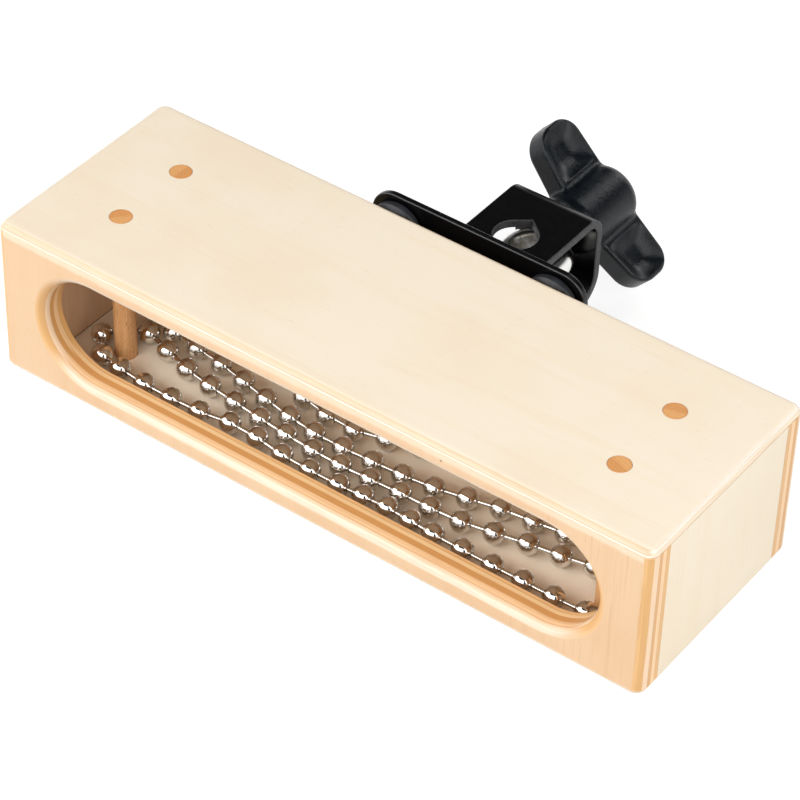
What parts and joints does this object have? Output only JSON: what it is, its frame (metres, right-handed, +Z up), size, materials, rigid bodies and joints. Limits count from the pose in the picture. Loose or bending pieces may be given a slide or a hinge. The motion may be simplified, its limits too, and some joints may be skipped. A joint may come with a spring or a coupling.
{
  "type": "hand clap block",
  "caption": "Plywood slot box with loops of ball chain lying loose round dowels, shaken or struck to sound like hand claps, with an eye-bolt rod clamp on its back.",
  "frame": {"origin": "middle of the box's underside", "axes": "+X along the box, to the right seen from the slot, +Y from the slot to the clamp, +Z up"},
  "size_m": [0.264, 0.1805, 0.0636],
  "materials": {
    "plywood": "satin clear lacquer",
    "dowel": "satin clear lacquer",
    "nickel": "bright nickel plate",
    "black_steel": "gloss black powder coat",
    "rubber": "matt",
    "zinc": "zinc plate",
    "plastic": "moulded, fine texture"
  },
  "bodies": {
    "block": {"top_plate": "plywood", "bottom_plate": "plywood", "front_panel": "plywood", "back_panel": "plywood", "left_end_panel": "plywood", "right_end_panel": "plywood", "dowel_front_left": "dowel", "dowel_front_right": "dowel", "dowel_rear_left": "dowel", "dowel_rear_right": "dowel", "mounting_plate": "black_steel", "clamp_strap": "black_steel", "rubber_washer_upper_left": "rubber", "rubber_washer_upper_right": "rubber", "rubber_washer_lower_left": "rubber", "rubber_washer_lower_right": "rubber", "bracket_screw_upper_left": "zinc", "bracket_screw_upper_right": "zinc", "bracket_screw_lower_left": "zinc", "bracket_screw_lower_right": "zinc", "inner_washer_upper_left": "zinc", "inner_washer_upper_right": "zinc", "inner_washer_lower_left": "zinc", "inner_washer_lower_right": "zinc", "inner_nut_upper_left": "zinc", "inner_nut_upper_right": "zinc", "inner_nut_lower_left": "zinc", "inner_nut_lower_right": "zinc", "thrust_washer": "zinc"},
    "front_chain": {"front_chain": "nickel"},
    "rear_chain": {"rear_chain": "nickel"},
    "eye_bolt": {"eye_bolt": "nickel"},
    "wing_nut": {"wing_nut": "plastic", "wing_nut_insert": "zinc"}
  },
  "joints": [
    {"name": "front_chain_hop", "type": "slide", "parent": "block", "child": "front_chain", "axis": [0, 0, 1], "range_m": [0, 0.049]},
    {"name": "rear_chain_hop", "type": "slide", "parent": "block", "child": "rear_chain", "axis": [0, 0, 1], "range_m": [0, 0.049]},
    {"name": "wing_nut_turn", "type": "hinge", "parent": "block", "child": "wing_nut", "pos_m": [0, 0.104, 0.0303], "axis": [0, 1, 0], "range_deg": [0, 3510]},
    {"name": "eye_bolt_slide", "type": "slide", "parent": "block", "child": "eye_bolt", "axis": [0, 1, 0], "range_m": [-0.0122, 0]}
  ],
  "couplings": [
    {"joint": "eye_bolt_slide", "follows": "wing_nut_turn", "m_per_rad": -0.00019894}
  ]
}
